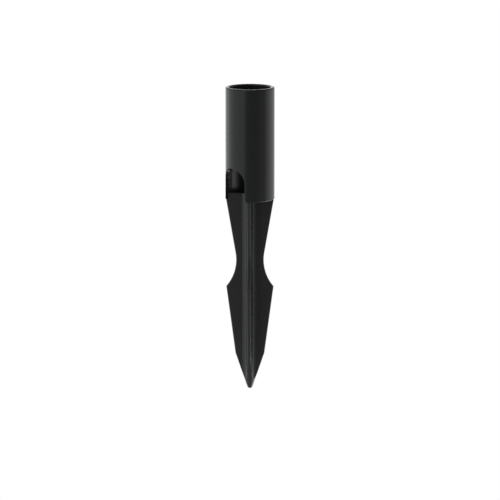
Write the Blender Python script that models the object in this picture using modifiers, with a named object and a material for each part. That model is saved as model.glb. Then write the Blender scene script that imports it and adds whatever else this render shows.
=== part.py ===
"""Post anchor spike: a round socket tube that stands on a four-bladed ground spike.

The origin is on the tube's axis at its lower edge, which is the ground line. +Z points up, out of
the ground. The blades lie along the X and Y axes. The tube's two cable notches face each other across
the axis: one is cut between -X and -Y, the other between +X and +Y.
"""

import math

import bmesh
import bpy

# Socket tube, above the ground line
TUBE_RADIUS = 0.0225
TUBE_HEIGHT = 0.1035
WALL = 0.0036
TUBE_EDGE_ROUND = 0.0006
TUBE_EDGE_STEPS = 3
TUBE_STEPS = 96

# Two cable notches in the tube's lower edge, cut by one block that runs right through
NOTCH_HALF_WIDTH = 0.0129
NOTCH_HEIGHT = 0.0302
NOTCH_ARCH_STEPS = 32
NOTCH_HEADING = math.radians(225)
CUTTER_MARGIN = 0.005

# Spike, from the seat inside the tube down to the tip
SEAT_HEIGHT = 0.0055
SPIKE_DEPTH = 0.1775
BLADE_THICKNESS = 0.0036
BLADE_EDGE_ROUND = 0.0007
BLADE_EDGE_SEGMENTS = 2
ROOT_FILLET = 0.006
SHOULDER_RADIUS = 0.0219

# Waist above the barbs: one large arc, tangent to the taper that comes down from the shoulder
WAIST_RADIUS = 0.01268
WAIST_DEPTH = 0.0566
WAIST_ARC = 0.0382
WAIST_STEPS = 12

# Barb, and the two tapers below it
BARB_RADIUS = 0.02175
BEND_RADIUS = 0.01335
BEND_DEPTH = 0.1440
TIP_ROUND = 0.0026
TIP_STEPS = 5

# Clearance between neighbouring pieces
GAP = 0.0003

BORE_RADIUS = TUBE_RADIUS - WALL
CORE_RADIUS = BLADE_THICKNESS / 2 + ROOT_FILLET
CORE_STEPS = 64
FILLET_STEPS = 8

BLADE_HEADINGS = {"blade_right": 0, "blade_rear": 90, "blade_left": 180, "blade_front": 270}

TUBE_BLACK = (0.017, 0.018, 0.018, 1)
TUBE_ROUGHNESS = 0.38
SPIKE_BLACK = (0.014, 0.014, 0.014, 1)
SPIKE_ROUGHNESS = 0.4

# Edges that meet at more than these angles, in degrees, stay sharp or are rounded
SHARP_ANGLE = 35
ROUNDED_ANGLE = 60


def clear_scene():
    for obj in list(bpy.data.objects):
        bpy.data.objects.remove(obj, do_unlink=True)


def new_collection(name):
    collection = bpy.data.collections.new(name)
    bpy.context.scene.collection.children.link(collection)
    return collection


def plastic(name, colour, roughness):
    material = bpy.data.materials.new(name)
    material.use_nodes = True
    shader = material.node_tree.nodes["Principled BSDF"]
    shader.inputs["Base Color"].default_value = colour
    shader.inputs["Roughness"].default_value = roughness
    shader.inputs["Metallic"].default_value = 0.0
    return material


def new_object(name, mesh, collection):
    obj = bpy.data.objects.new(name, mesh)
    collection.objects.link(obj)
    return obj


def as_cutter(obj):
    obj.hide_render = True
    obj.display_type = "WIRE"
    return obj


def arc(centre, radius, start, end, steps):
    """Points along an arc, with its angles in degrees, both ends included."""
    points = []
    for i in range(steps + 1):
        angle = math.radians(start + (end - start) * i / steps)
        points.append((centre[0] + radius * math.cos(angle), centre[1] + radius * math.sin(angle)))
    return points


def tangent_angle(point, centre, radius):
    """The angle on the circle, in degrees, of the upper point whose tangent runs through the given point."""
    across = point[0] - centre[0]
    up = point[1] - centre[1]
    distance = math.hypot(across, up)
    return math.degrees(math.atan2(up, across) + math.acos(radius / distance))


def turned(name, profile, steps, collection, closed):
    """A turned solid: the profile's (radius, height) points swept round Z."""
    mesh = bpy.data.meshes.new(name)
    edges = [(i, i + 1) for i in range(len(profile) - 1)]
    if closed:
        edges.append((len(profile) - 1, 0))
    mesh.from_pydata([(radius, 0, height) for radius, height in profile], edges, [])
    obj = new_object(name, mesh, collection)
    screw = obj.modifiers.new("turn", "SCREW")
    screw.axis = "Z"
    screw.angle = math.tau
    screw.steps = steps
    screw.render_steps = steps
    screw.use_merge_vertices = True
    screw.merge_threshold = 0.00001
    screw.use_smooth_shade = True
    return obj


def plate_mesh(name, outline, thickness):
    """The mesh of a flat plate in the XY plane, with half its thickness on each side."""
    curve = bpy.data.curves.new(name, "CURVE")
    curve.dimensions = "2D"
    curve.fill_mode = "BOTH"
    curve.extrude = thickness / 2
    spline = curve.splines.new("POLY")
    spline.points.add(len(outline) - 1)
    for point, (x, y) in zip(spline.points, outline):
        point.co = (x, y, 0, 1)
    spline.use_cyclic_u = True
    obj = bpy.data.objects.new(name, curve)
    bpy.context.scene.collection.objects.link(obj)
    evaluated = obj.evaluated_get(bpy.context.evaluated_depsgraph_get())
    mesh = bpy.data.meshes.new_from_object(evaluated)
    bpy.data.objects.remove(obj, do_unlink=True)
    welded = bmesh.new()
    welded.from_mesh(mesh)
    bmesh.ops.remove_doubles(welded, verts=welded.verts, dist=0.000001)
    bmesh.ops.recalc_face_normals(welded, faces=welded.faces)
    welded.to_mesh(mesh)
    welded.free()
    mesh.name = name
    return mesh


def boolean(obj, name, operation, other):
    modifier = obj.modifiers.new(name, "BOOLEAN")
    modifier.operation = operation
    modifier.solver = "EXACT"
    modifier.object = other
    return modifier


def smooth(obj):
    obj.data.shade_smooth()
    obj.data.set_sharp_from_angle(angle=math.radians(SHARP_ANGLE))


def socket_tube(parts, cutters):
    """The round wall, open at the top, with all four of its edges rounded."""
    edge = TUBE_EDGE_ROUND
    outside = TUBE_RADIUS - edge
    inside = BORE_RADIUS + edge
    top = TUBE_HEIGHT - edge
    profile = arc((outside, top), edge, 90, 0, TUBE_EDGE_STEPS)
    profile += arc((outside, edge), edge, 0, -90, TUBE_EDGE_STEPS)
    profile += arc((inside, edge), edge, -90, -180, TUBE_EDGE_STEPS)
    profile += arc((inside, top), edge, 180, 90, TUBE_EDGE_STEPS)
    tube = turned("socket_tube", profile, TUBE_STEPS, parts, closed=True)
    boolean(tube, "cable_notches", "DIFFERENCE", notch_cutter(cutters))
    tube.data.materials.append(plastic("tube_plastic", TUBE_BLACK, TUBE_ROUGHNESS))
    return tube


def notch_cutter(cutters):
    """A round-topped block that runs through both walls, across the axis."""
    arch_centre = NOTCH_HEIGHT - NOTCH_HALF_WIDTH
    outline = [(-NOTCH_HALF_WIDTH, -CUTTER_MARGIN), (NOTCH_HALF_WIDTH, -CUTTER_MARGIN)]
    outline += arc((0, arch_centre), NOTCH_HALF_WIDTH, 0, 180, NOTCH_ARCH_STEPS)
    length = 2 * (TUBE_RADIUS + CUTTER_MARGIN)
    cutter = new_object("notch_cutter", plate_mesh("notch_cutter", outline, length), cutters)
    cutter.rotation_euler = (math.radians(90), 0, NOTCH_HEADING + math.radians(90))
    return as_cutter(cutter)


def point_profile():
    """The lower taper from the bend to the rounded tip, as (radius, height) points going down."""
    tip_centre = (0, TIP_ROUND - SPIKE_DEPTH)
    bend = (BEND_RADIUS, -BEND_DEPTH)
    across = bend[0] - tip_centre[0]
    up = bend[1] - tip_centre[1]
    facing = math.degrees(math.atan2(up, across) - math.acos(TIP_ROUND / math.hypot(across, up)))
    return [bend] + arc(tip_centre, TIP_ROUND, facing, -90, TIP_STEPS)


def spike_core(parts, cutters):
    """The column at the crossing of the blades: four short arms, the fillets between them, and the point."""
    half = BLADE_THICKNESS / 2
    arm_end = CORE_RADIUS - GAP / 2
    trim = math.degrees(math.asin(GAP / 2 / ROOT_FILLET))
    corner = arc((half + ROOT_FILLET, half + ROOT_FILLET), ROOT_FILLET, 270 - trim, 180 + trim, FILLET_STEPS)
    outline = []
    for quarter in range(4):
        cos = math.cos(math.radians(90 * quarter))
        sin = math.sin(math.radians(90 * quarter))
        outline += [(x * cos - y * sin, x * sin + y * cos) for x, y in corner]
    length = SEAT_HEIGHT + SPIKE_DEPTH
    core = new_object("spike_core", plate_mesh("spike_core", outline, length), parts)
    core.location = (0, 0, (SEAT_HEIGHT - SPIKE_DEPTH) / 2)
    above = SEAT_HEIGHT + arm_end
    envelope = [(0, above), (2 * BEND_RADIUS, above), (2 * BEND_RADIUS, -BEND_DEPTH)]
    point = turned("point_envelope", envelope + point_profile(), CORE_STEPS, cutters, closed=False)
    boolean(core, "point", "INTERSECT", as_cutter(point))
    core.data.materials.append(plastic("core_plastic", SPIKE_BLACK, SPIKE_ROUGHNESS))
    smooth(core)
    return core


def blade_outline():
    """Half of the spike's outline, as (radius, height) points from the seat down to inside the core."""
    inner = CORE_RADIUS / 2
    head = BORE_RADIUS - 2 * GAP
    shoulder = (SHOULDER_RADIUS, -GAP)
    waist = (WAIST_RADIUS + WAIST_ARC, -WAIST_DEPTH)
    upper = tangent_angle(shoulder, waist, WAIST_ARC)
    lower = 180 + math.degrees(math.acos((waist[0] - BARB_RADIUS) / WAIST_ARC))
    outline = [(inner, SEAT_HEIGHT), (head, SEAT_HEIGHT), (head, -GAP), shoulder]
    outline += arc(waist, WAIST_ARC, upper, lower, WAIST_STEPS)
    bend, first_on_tip = point_profile()[:2]
    along = (bend[0] - inner) / (bend[0] - first_on_tip[0])
    outline += [bend, (inner, bend[1] + along * (first_on_tip[1] - bend[1]))]
    return outline


def blades(parts, cutters):
    """Four like blades round the core, with every edge rounded but the root's."""
    side = 2 * CORE_RADIUS + GAP
    cube = bmesh.new()
    bmesh.ops.create_cube(cube, size=1)
    bmesh.ops.scale(cube, verts=cube.verts, vec=(side, side, 2 * (SPIKE_DEPTH + SEAT_HEIGHT)))
    room = bpy.data.meshes.new("core_room")
    cube.to_mesh(room)
    cube.free()
    core_room = as_cutter(new_object("core_room", room, cutters))
    for name, heading in BLADE_HEADINGS.items():
        mesh = plate_mesh(name, blade_outline(), BLADE_THICKNESS)
        blade = new_object(name, mesh, parts)
        blade.rotation_euler = (math.radians(90), 0, math.radians(heading))
        bevel = blade.modifiers.new("edge_round", "BEVEL")
        bevel.width = BLADE_EDGE_ROUND
        bevel.segments = BLADE_EDGE_SEGMENTS
        bevel.limit_method = "ANGLE"
        bevel.angle_limit = math.radians(ROUNDED_ANGLE)
        boolean(blade, "core_room", "DIFFERENCE", core_room).use_self = True
        mesh.materials.append(plastic(name + "_plastic", SPIKE_BLACK, SPIKE_ROUGHNESS))
        smooth(blade)


def main():
    clear_scene()
    parts = new_collection("post_anchor_spike")
    cutters = new_collection("cutters")
    socket_tube(parts, cutters)
    spike_core(parts, cutters)
    blades(parts, cutters)


main()
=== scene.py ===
import math

import bmesh
import bpy
from mathutils import Matrix, Vector

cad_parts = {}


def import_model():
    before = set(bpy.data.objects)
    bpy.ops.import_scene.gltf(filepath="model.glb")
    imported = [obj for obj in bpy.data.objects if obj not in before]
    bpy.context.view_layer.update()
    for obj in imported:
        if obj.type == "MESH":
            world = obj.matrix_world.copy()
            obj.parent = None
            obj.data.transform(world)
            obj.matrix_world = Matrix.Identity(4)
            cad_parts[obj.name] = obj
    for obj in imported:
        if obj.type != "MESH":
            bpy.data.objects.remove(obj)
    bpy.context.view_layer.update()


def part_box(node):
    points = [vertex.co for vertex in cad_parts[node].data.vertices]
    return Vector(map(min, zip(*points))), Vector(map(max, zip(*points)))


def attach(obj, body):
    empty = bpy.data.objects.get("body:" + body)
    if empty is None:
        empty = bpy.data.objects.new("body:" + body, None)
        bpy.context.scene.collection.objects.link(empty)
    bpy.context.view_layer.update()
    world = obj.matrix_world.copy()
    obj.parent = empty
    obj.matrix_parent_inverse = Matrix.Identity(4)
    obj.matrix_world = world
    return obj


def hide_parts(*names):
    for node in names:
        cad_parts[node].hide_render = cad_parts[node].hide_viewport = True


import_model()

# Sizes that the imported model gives, in metres
TUBE_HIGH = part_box("socket_tube")[1]
CORE_LOW, CORE_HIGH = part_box("spike_core")
BLADE_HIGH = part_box("blade_right")[1]
TUBE_RADIUS = TUBE_HIGH.x
TUBE_TOP = TUBE_HIGH.z
SEAT = CORE_HIGH.z
TIP = CORE_LOW.z
HALF_BLADE = BLADE_HIGH.y
SHOULDER_RADIUS = BLADE_HIGH.x

# Tube
WALL = 0.0036
BORE_RADIUS = TUBE_RADIUS - WALL
RIM_ROUND = 0.0013
LOWER_ROUND = 0.0008
INNER_ROUND = 0.0004

# The two notches in its lower edge, and the patch of wall that is laid out round each
NOTCH_HALF = 0.0129
ARCH_CENTRE = 0.0173
NOTCH_HEADINGS = (math.radians(225), math.radians(45))
PATCH_HALF = 0.0150

# Spike: the blades' outline is the CAD's, and their heads end inside the tube's wall
ROOT_FILLET = 0.0060
BLADE_EDGE = 0.0006
BLADE_CORNER = 0.0009
SHARPEST_CORNER = 0.00001
HEAD_RADIUS = TUBE_RADIUS - 0.0013
SHOULDER_DROP = 0.0003
WAIST_RADIUS = 0.01268
WAIST_HEIGHT = -0.0566
WAIST_ARC = 0.0382
BARB_RADIUS = 0.02175
BEND_RADIUS = 0.01335
BEND_HEIGHT = -0.1440
TIP_ROUND = 0.0026
FILLET_CENTRE = HALF_BLADE + ROOT_FILLET
CROSSING = math.hypot(FILLET_CENTRE, HALF_BLADE)
ROOT_OVERLAP = 0.0003
SUNK = 0.00002
HEADINGS = {"blade_right": 0, "blade_rear": 90, "blade_left": 180, "blade_front": 270}

# How finely each stretch is divided
ROUND_STEPS = 6
JAMB_STEPS = 16
SIDE_STEPS = 32
TOP_STEPS = 48
PATCH_STEPS = 20
BETWEEN_STEPS = 48
SHOULDER_STEPS = 12
HOLLOW_STEPS = 40
TAPER_STEPS = 16
CONE_STEPS = 60
TIP_STEPS = 10
FACE_STEPS = 8
EDGE_STEPS = 2
ARM_STEPS = 5
FILLET_STEPS = 28

# Points closer than this become one
MERGE = 0.0000005

# Plastics: (colour, roughness, specular level)
TUBE_PLASTIC = ((0.0040, 0.0043, 0.0042), 0.26, 0.068)
SPIKE_PLASTIC = ((0.0062, 0.0062, 0.0062), 0.28, 0.086)
CLOUD_SCALE = 60
CLOUD_DETAIL = 4
GLOSS_CHANGE = 0.03
TONE_CHANGE = 0.15
GRAIN_SCALE = 2500
GRAIN_DETAIL = 2
GRAIN_STRENGTH = 0.06
GRAIN_DEPTH = 0.0001

# Studio: the white that the camera sees, and the softer white that lights the object
BACKDROP = 1.0
SURROUNDINGS = 0.6
FLOOR_TONE = 0.9
FLOOR_GLOW = 0.5
FLOOR_HALF = 6
FLOOR_AHEAD = 5
FLOOR_DROP = 0.4

# Soft lights: (azimuth and elevation in degrees, distance, width, height, radiance, tint)
SOFTBOXES = {
    "left_softbox": (-70, 10, 0.8, 2.05, 1.3, 3.4, (0.95, 1.0, 1.0)),
    "left_back": (-148, 0, 1.2, 1.5, 1.0, 1.8, (1, 1, 1)),
    "right_softbox": (105, 6, 1.0, 0.8, 1.2, 2.2, (1, 1, 1)),
    "right_fill": (95, 0, 1.1, 2.4, 1.0, 0.75, (1, 1, 1)),
    "right_back": (150, 0, 1.2, 1.0, 1.0, 0.9, (1, 1, 1)),
    "overhead": (0, 75, 1.2, 1.4, 1.4, 1.0, (1, 1, 1)),
    "right_low": (112, -46, 0.6, 0.7, 0.4, 6.0, (1, 1, 1)),
}

# Camera
CAMERA_TARGET = Vector((0.00005, 0, -0.0477))
CAMERA_AZIMUTH = 3.5
CAMERA_ELEVATION = 10.2
CAMERA_DISTANCE = 3.225
CAMERA_LENS = 252.6
CAMERA_SENSOR = 36
CAMERA_REACH = 50


def blend(a, b, share):
    """The point that lies that share of the way from a to b."""
    return tuple(p + (q - p) * share for p, q in zip(a, b))


def line(a, b, steps):
    """Points from a to b, with a left out."""
    return [blend(a, b, i / steps) for i in range(1, steps + 1)]


def arc(centre, radius, start, end, steps):
    """Points on a circle, from one angle to another in degrees."""
    points = []
    for i in range(steps + 1):
        angle = math.radians(start + (end - start) * i / steps)
        points.append((centre[0] + radius * math.cos(angle), centre[1] + radius * math.sin(angle)))
    return points


def quarter_round(radius):
    """(inset, drop) pairs of a rounded edge, from the flat face to the side."""
    pairs = []
    for i in range(ROUND_STEPS + 1):
        angle = math.radians(90 * i / ROUND_STEPS)
        pairs.append((radius * (1 - math.sin(angle)), radius * (1 - math.cos(angle))))
    return pairs


# ---------------------------------------------------------------- meshes

def add_grid(mesh, rows, wrap=False):
    """Quads between rows of points that all have the same length."""
    grid = [[mesh.verts.new(point) for point in row] for row in rows]
    for lower, upper in zip(grid, grid[1:]):
        count = len(lower)
        for i in range(count if wrap else count - 1):
            j = (i + 1) % count
            mesh.faces.new((lower[i], lower[j], upper[j], upper[i]))
    return grid


def add_piece(name, mesh, node, material, sharp=32):
    """Closes and shades the mesh, puts the piece on the root body, and hides its CAD node."""
    bmesh.ops.remove_doubles(mesh, verts=mesh.verts, dist=MERGE)
    bmesh.ops.dissolve_degenerate(mesh, edges=mesh.edges, dist=MERGE)
    bmesh.ops.recalc_face_normals(mesh, faces=mesh.faces)
    data = bpy.data.meshes.new(name)
    mesh.to_mesh(data)
    mesh.free()
    data.shade_smooth()
    data.set_sharp_from_angle(angle=math.radians(sharp))
    data.materials.append(material)
    piece = bpy.data.objects.new(name, data)
    bpy.context.scene.collection.objects.link(piece)
    weighted = piece.modifiers.new("weighted_normals", "WEIGHTED_NORMAL")
    weighted.keep_sharp = True
    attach(piece, "root")
    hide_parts(node)


# ---------------------------------------------------------------- tube

def on_tube(radius, heading, across, height):
    """A point on the cylinder; across is its distance from the upright plane through the notch."""
    turn = heading + math.asin(across / radius)
    return Vector((radius * math.cos(turn), radius * math.sin(turn), height))


def notch_edge(inset):
    """(across, height) points from the notch's one lower corner, over the arch, to the other."""
    half = NOTCH_HALF + inset
    jamb = [(half, inset + (ARCH_CENTRE - inset) * i / JAMB_STEPS) for i in range(JAMB_STEPS)]
    steps = 2 * SIDE_STEPS + TOP_STEPS
    over = [math.pi * i / steps for i in range(steps + 1)]
    arch = [(half * math.cos(angle), ARCH_CENTRE + half * math.sin(angle)) for angle in over]
    return jamb + arch + [(-across, height) for across, height in reversed(jamb)]


def patch_side(rounding):
    """Heights up the side of the patch, one for each of notch_edge's points on that side."""
    top = TUBE_TOP - RIM_ROUND
    heights = [height for _, height in notch_edge(rounding)[:JAMB_STEPS]]
    return heights + [ARCH_CENTRE + (top - ARCH_CENTRE) * i / SIDE_STEPS for i in range(SIDE_STEPS + 1)]


def patch_top():
    """Distances across the top of the patch, from its one corner to the other."""
    return [PATCH_HALF * (1 - 2 * i / TOP_STEPS) for i in range(TOP_STEPS + 1)]


def between(radius, heading, height):
    """Points on the plain wall from this notch's patch round to the next one's, both ends included."""
    side = math.asin(PATCH_HALF / radius)
    points = []
    for i in range(BETWEEN_STEPS + 1):
        turn = heading - side - (math.pi - 2 * side) * i / BETWEEN_STEPS
        points.append(Vector((radius * math.cos(turn), radius * math.sin(turn), height)))
    return points


def tube_wall(mesh, radius, rounding):
    """The outer or the inner face of the wall, up to where its edges start to round."""
    side = [(PATCH_HALF, height) for height in patch_side(rounding)]
    top = [(across, TUBE_TOP - RIM_ROUND) for across in patch_top()[1:-1]]
    border = side + top + [(-across, height) for across, height in reversed(side)]
    for heading in NOTCH_HEADINGS:
        rows = []
        for near, far in zip(notch_edge(rounding), border):
            steps = [blend(near, far, i / PATCH_STEPS) for i in range(PATCH_STEPS + 1)]
            rows.append([on_tube(radius, heading, *point) for point in steps])
        add_grid(mesh, rows)
        add_grid(mesh, [between(radius, heading, height) for height in patch_side(rounding)])


def lower_loop(inset, radius):
    """The whole lower edge: over one notch, round to the next, over that and back."""
    loop = []
    for heading in NOTCH_HEADINGS:
        edge = notch_edge(inset)
        before, after = (PATCH_HALF, inset), (-PATCH_HALF, inset)
        lead = [blend(before, edge[0], i / PATCH_STEPS) for i in range(PATCH_STEPS)]
        trail = [blend(edge[-1], after, i / PATCH_STEPS) for i in range(1, PATCH_STEPS)]
        loop += [on_tube(radius, heading, *point) for point in lead + edge + trail]
        loop += between(radius, heading, inset)[:-1]
    return loop


def upper_loop(inset, radius):
    """The whole upper edge, with its points above those of the two patches and the wall between."""
    height = TUBE_TOP - inset
    loop = []
    for heading in NOTCH_HEADINGS:
        loop += [on_tube(radius, heading, across, height) for across in patch_top()[:-1]]
        loop += between(radius, heading, height)[:-1]
    return loop


def rounded_layers(outer, inner):
    """(inset, radius) of each loop round the wall's end, from its outer face to its inner one."""
    outside = [(inset, TUBE_RADIUS - drop) for drop, inset in quarter_round(outer)]
    inside = [(inset, BORE_RADIUS + drop) for drop, inset in quarter_round(inner)]
    return list(reversed(outside)) + inside


def socket_tube(material):
    mesh = bmesh.new()
    tube_wall(mesh, TUBE_RADIUS, LOWER_ROUND)
    tube_wall(mesh, BORE_RADIUS, INNER_ROUND)
    lower = rounded_layers(LOWER_ROUND, INNER_ROUND)
    add_grid(mesh, [lower_loop(*layer) for layer in lower], wrap=True)
    upper = rounded_layers(RIM_ROUND, RIM_ROUND)
    add_grid(mesh, [upper_loop(*layer) for layer in upper], wrap=True)
    add_piece("socket_tube_moulded", mesh, "socket_tube", material)


# ---------------------------------------------------------------- spike

def top_round():
    """(inset, rise) pairs of the rounding under a flat top, from the top down."""
    pairs = []
    for i in range(ROUND_STEPS + 1):
        angle = math.radians(90 - 90 * i / ROUND_STEPS)
        pairs.append((BLADE_EDGE * (1 - math.cos(angle)), BLADE_EDGE * math.sin(angle)))
    return pairs


def cone_and_tip():
    """(reach, height) points from the bend to the tip: the cone, then the rounded end."""
    bend = (BEND_RADIUS, BEND_HEIGHT)
    centre = (0, TIP + TIP_ROUND)
    up = BEND_HEIGHT - centre[1]
    facing = math.atan2(up, BEND_RADIUS) - math.acos(TIP_ROUND / math.hypot(BEND_RADIUS, up))
    end = arc(centre, TIP_ROUND, math.degrees(facing), -90, TIP_STEPS)
    return [bend] + line(bend, end[0], CONE_STEPS) + end[1:]


def blade_outline(shoulder):
    """(reach, height) points from under the shoulder, over the waist and the barb, to the bend."""
    waist = (WAIST_RADIUS + WAIST_ARC, WAIST_HEIGHT)
    across, up = shoulder[0] - waist[0], shoulder[1] - waist[1]
    upper = math.degrees(math.atan2(up, across) + math.acos(WAIST_ARC / math.hypot(across, up)))
    lower = 180 + math.degrees(math.acos((waist[0] - BARB_RADIUS) / WAIST_ARC))
    hollow = arc(waist, WAIST_ARC, upper, lower, HOLLOW_STEPS)
    taper = line(hollow[-1], (BEND_RADIUS, BEND_HEIGHT), TAPER_STEPS)
    return line(shoulder, hollow[0], SHOULDER_STEPS) + hollow[1:] + taper


def blade_rows():
    """(reach, height, inset) of each level of a blade, from its flat top to where it meets the point."""
    rows = [(HEAD_RADIUS, SEAT - BLADE_EDGE + rise, inset) for inset, rise in top_round()]
    rows.append((HEAD_RADIUS, -SHOULDER_DROP, 0))
    for inset, drop in reversed(quarter_round(BLADE_EDGE)):
        rows.append((SHOULDER_RADIUS - drop, -SHOULDER_DROP - inset, 0))
    outline = blade_outline(rows[-1][:2])
    cone = cone_and_tip()[1:]
    shown = [point for point in cone if point[0] > CROSSING]
    reach, height = cone[len(shown)]
    outline += shown + [(reach - SUNK, height)]
    return rows + [(reach, height, 0) for reach, height in outline]


def blade_section(reach, inset):
    """A closed (x, y) section of the blade along +X; its root is hidden in the core."""
    reach -= inset
    half = HALF_BLADE - inset
    fade = min(1, max(0, (reach - CROSSING) / (2 * HALF_BLADE)))
    corner = max(BLADE_CORNER * fade, SHARPEST_CORNER)
    root = FILLET_CENTRE - ROOT_OVERLAP
    side = [(root, half)] + line((root, half), (reach - corner, half), FACE_STEPS)
    side += arc((reach - corner, half - corner), corner, 90, 0, ROUND_STEPS)[1:]
    side += line(side[-1], (reach, 0), EDGE_STEPS)
    curved = []
    for x, y in side:
        stretch = (math.sqrt(reach**2 - y**2) - root) / (reach - root)
        curved.append((root + (x - root) * stretch, y))
    return curved + [(x, -y) for x, y in reversed(curved[:-1])]


def blade(name, heading, material):
    turn = Matrix.Rotation(math.radians(heading), 3, "Z")
    rows = []
    for reach, height, inset in blade_rows():
        rows.append([turn @ Vector((x, y, height)) for x, y in blade_section(reach, inset)])
    mesh = bmesh.new()
    grid = add_grid(mesh, rows, wrap=True)
    mesh.faces.new(grid[0])
    mesh.faces.new(grid[-1])
    add_piece(name + "_moulded", mesh, name, material)


def core_section(reach, inset):
    """A closed (x, y) section of the core: four arms with fillets between them, within reach of the axis."""
    half = HALF_BLADE - inset
    fillet = ROOT_FILLET + inset
    middle = math.hypot(FILLET_CENTRE, FILLET_CENTRE)
    if reach > CROSSING:
        end = [(FILLET_CENTRE, half * i / ARM_STEPS) for i in range(ARM_STEPS + 1)]
        spread = 45
    else:
        between_cos = (reach**2 + middle**2 - fillet**2) / (2 * max(reach, MERGE) * middle)
        end = arc((0, 0), reach, 0, 45 - math.degrees(math.acos(min(1, between_cos))), ARM_STEPS)
        x, y = end[-1]
        spread = math.degrees(math.atan2(FILLET_CENTRE - y, FILLET_CENTRE - x)) - 45
    curve = arc((FILLET_CENTRE, FILLET_CENTRE), fillet, 225 + spread, 225 - spread, FILLET_STEPS)
    if reach <= middle - fillet:
        curve = [end[-1]] * (FILLET_STEPS + 1)
    quarter = end + curve + [(y, x) for x, y in reversed(end[1:])]
    points = []
    for i in range(4):
        turn = math.radians(90 * i)
        cos, sin = round(math.cos(turn)), round(math.sin(turn))
        points += [(x * cos - y * sin, x * sin + y * cos) for x, y in quarter]
    return points


def spike_core(material):
    levels = [(math.inf, SEAT - SUNK - BLADE_EDGE + rise, inset) for inset, rise in top_round()]
    levels += [(reach, height, 0) for reach, height in cone_and_tip()]
    rows = []
    for reach, height, inset in levels:
        rows.append([Vector((x, y, height)) for x, y in core_section(reach, inset)])
    mesh = bmesh.new()
    grid = add_grid(mesh, rows, wrap=True)
    mesh.faces.new(grid[0])
    add_piece("spike_core_moulded", mesh, "spike_core", material)


# ---------------------------------------------------------------- materials

def noise(nodes, links, place, scale, detail):
    texture = nodes.new("ShaderNodeTexNoise")
    texture.inputs["Scale"].default_value = scale
    texture.inputs["Detail"].default_value = detail
    links.new(place.outputs["Object"], texture.inputs["Vector"])
    return texture


def plastic(name, colour, roughness, specular):
    """Satin black moulded plastic: a very fine grain, and faint cloudy changes of tone and gloss."""
    material = bpy.data.materials.new(name)
    material.use_nodes = True
    nodes, links = material.node_tree.nodes, material.node_tree.links
    shader = nodes["Principled BSDF"]
    place = nodes.new("ShaderNodeTexCoord")
    cloud = noise(nodes, links, place, CLOUD_SCALE, CLOUD_DETAIL)
    gloss = nodes.new("ShaderNodeMapRange")
    gloss.inputs["To Min"].default_value = roughness - GLOSS_CHANGE
    gloss.inputs["To Max"].default_value = roughness + GLOSS_CHANGE
    links.new(cloud.outputs["Fac"], gloss.inputs["Value"])
    links.new(gloss.outputs["Result"], shader.inputs["Roughness"])
    tone = nodes.new("ShaderNodeMix")
    tone.data_type = "RGBA"
    tone.inputs["A"].default_value = [c * (1 - TONE_CHANGE) for c in colour] + [1]
    tone.inputs["B"].default_value = [c * (1 + TONE_CHANGE) for c in colour] + [1]
    links.new(cloud.outputs["Fac"], tone.inputs["Factor"])
    links.new(tone.outputs["Result"], shader.inputs["Base Color"])
    grain = noise(nodes, links, place, GRAIN_SCALE, GRAIN_DETAIL)
    bump = nodes.new("ShaderNodeBump")
    bump.inputs["Strength"].default_value = GRAIN_STRENGTH
    bump.inputs["Distance"].default_value = GRAIN_DEPTH
    links.new(grain.outputs["Fac"], bump.inputs["Height"])
    links.new(bump.outputs["Normal"], shader.inputs["Normal"])
    shader.inputs["Specular IOR Level"].default_value = specular
    shader.inputs["Metallic"].default_value = 0.0
    return material


# ---------------------------------------------------------------- studio

def world():
    """Plain white all round: full white behind the object, softer white where it lights it."""
    studio = bpy.data.worlds.new("studio")
    studio.use_nodes = True
    nodes, links = studio.node_tree.nodes, studio.node_tree.links
    background = nodes["Background"]
    background.inputs["Color"].default_value = (1, 1, 1, 1)
    rays = nodes.new("ShaderNodeLightPath")
    level = nodes.new("ShaderNodeMapRange")
    level.inputs["To Min"].default_value = SURROUNDINGS
    level.inputs["To Max"].default_value = BACKDROP
    links.new(rays.outputs["Is Camera Ray"], level.inputs["Value"])
    links.new(level.outputs["Result"], background.inputs["Strength"])
    bpy.context.scene.world = studio
    bpy.context.scene.view_settings.view_transform = "Standard"


def direction(azimuth, elevation):
    """A unit vector at an azimuth from the -Y side towards +X, and an elevation, both in degrees."""
    turn, rise = math.radians(azimuth), math.radians(elevation)
    return Vector((math.sin(turn) * math.cos(rise), -math.cos(turn) * math.cos(rise), math.sin(rise)))


def place_facing(thing, target, towards, distance):
    """Puts a light or a camera at a distance from its target, and turns it to the target."""
    thing.location = target + towards * distance
    thing.rotation_euler = towards.to_track_quat("Z", "Y").to_euler()
    bpy.context.scene.collection.objects.link(thing)


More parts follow.
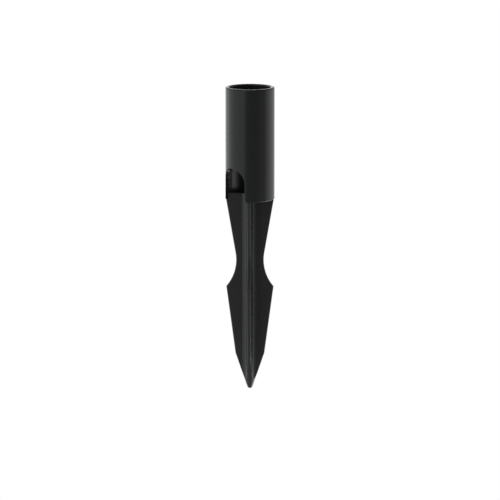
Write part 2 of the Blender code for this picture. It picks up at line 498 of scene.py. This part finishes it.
def softbox(name, azimuth, elevation, distance, width, height, radiance, tint):
    """A soft light that faces the middle of the object and that the camera doesn't see."""
    data = bpy.data.lights.new(name, "AREA")
    data.shape = "RECTANGLE"
    data.size = width
    data.size_y = height
    data.energy = radiance * math.pi * width * height
    data.color = tint
    light = bpy.data.objects.new(name, data)
    light.visible_camera = False
    middle = Vector((0, 0, (TUBE_TOP + TIP) / 2))
    place_facing(light, middle, direction(azimuth, elevation), distance)


def floor():
    """A plain pale floor below and in front of the object, which is held up in the air."""
    mesh = bpy.data.meshes.new("studio_floor")
    shape = bmesh.new()
    bmesh.ops.create_grid(shape, x_segments=1, y_segments=1, size=FLOOR_HALF)
    shape.to_mesh(mesh)
    shape.free()
    material = bpy.data.materials.new("studio_white")
    material.use_nodes = True
    shader = material.node_tree.nodes["Principled BSDF"]
    shader.inputs["Base Color"].default_value = (FLOOR_TONE, FLOOR_TONE, FLOOR_TONE, 1)
    shader.inputs["Roughness"].default_value = 1.0
    shader.inputs["Specular IOR Level"].default_value = 0.0
    shader.inputs["Emission Color"].default_value = (1, 1, 1, 1)
    shader.inputs["Emission Strength"].default_value = FLOOR_GLOW
    mesh.materials.append(material)
    plane = bpy.data.objects.new("studio_floor", mesh)
    plane.location = (0, -FLOOR_AHEAD, TIP - FLOOR_DROP)
    bpy.context.scene.collection.objects.link(plane)


def camera():
    data = bpy.data.cameras.new("camera")
    data.sensor_width = CAMERA_SENSOR
    data.lens = CAMERA_LENS
    data.clip_end = CAMERA_REACH
    view = bpy.data.objects.new("camera", data)
    place_facing(view, CAMERA_TARGET, direction(CAMERA_AZIMUTH, CAMERA_ELEVATION), CAMERA_DISTANCE)
    bpy.context.scene.camera = view


def main():
    tube_black = plastic("tube_satin_black", *TUBE_PLASTIC)
    spike_black = plastic("spike_satin_black", *SPIKE_PLASTIC)
    socket_tube(tube_black)
    spike_core(spike_black)
    for name, heading in HEADINGS.items():
        blade(name, heading, spike_black)
    world()
    for name, values in SOFTBOXES.items():
        softbox(name, *values)
    floor()
    camera()


main()
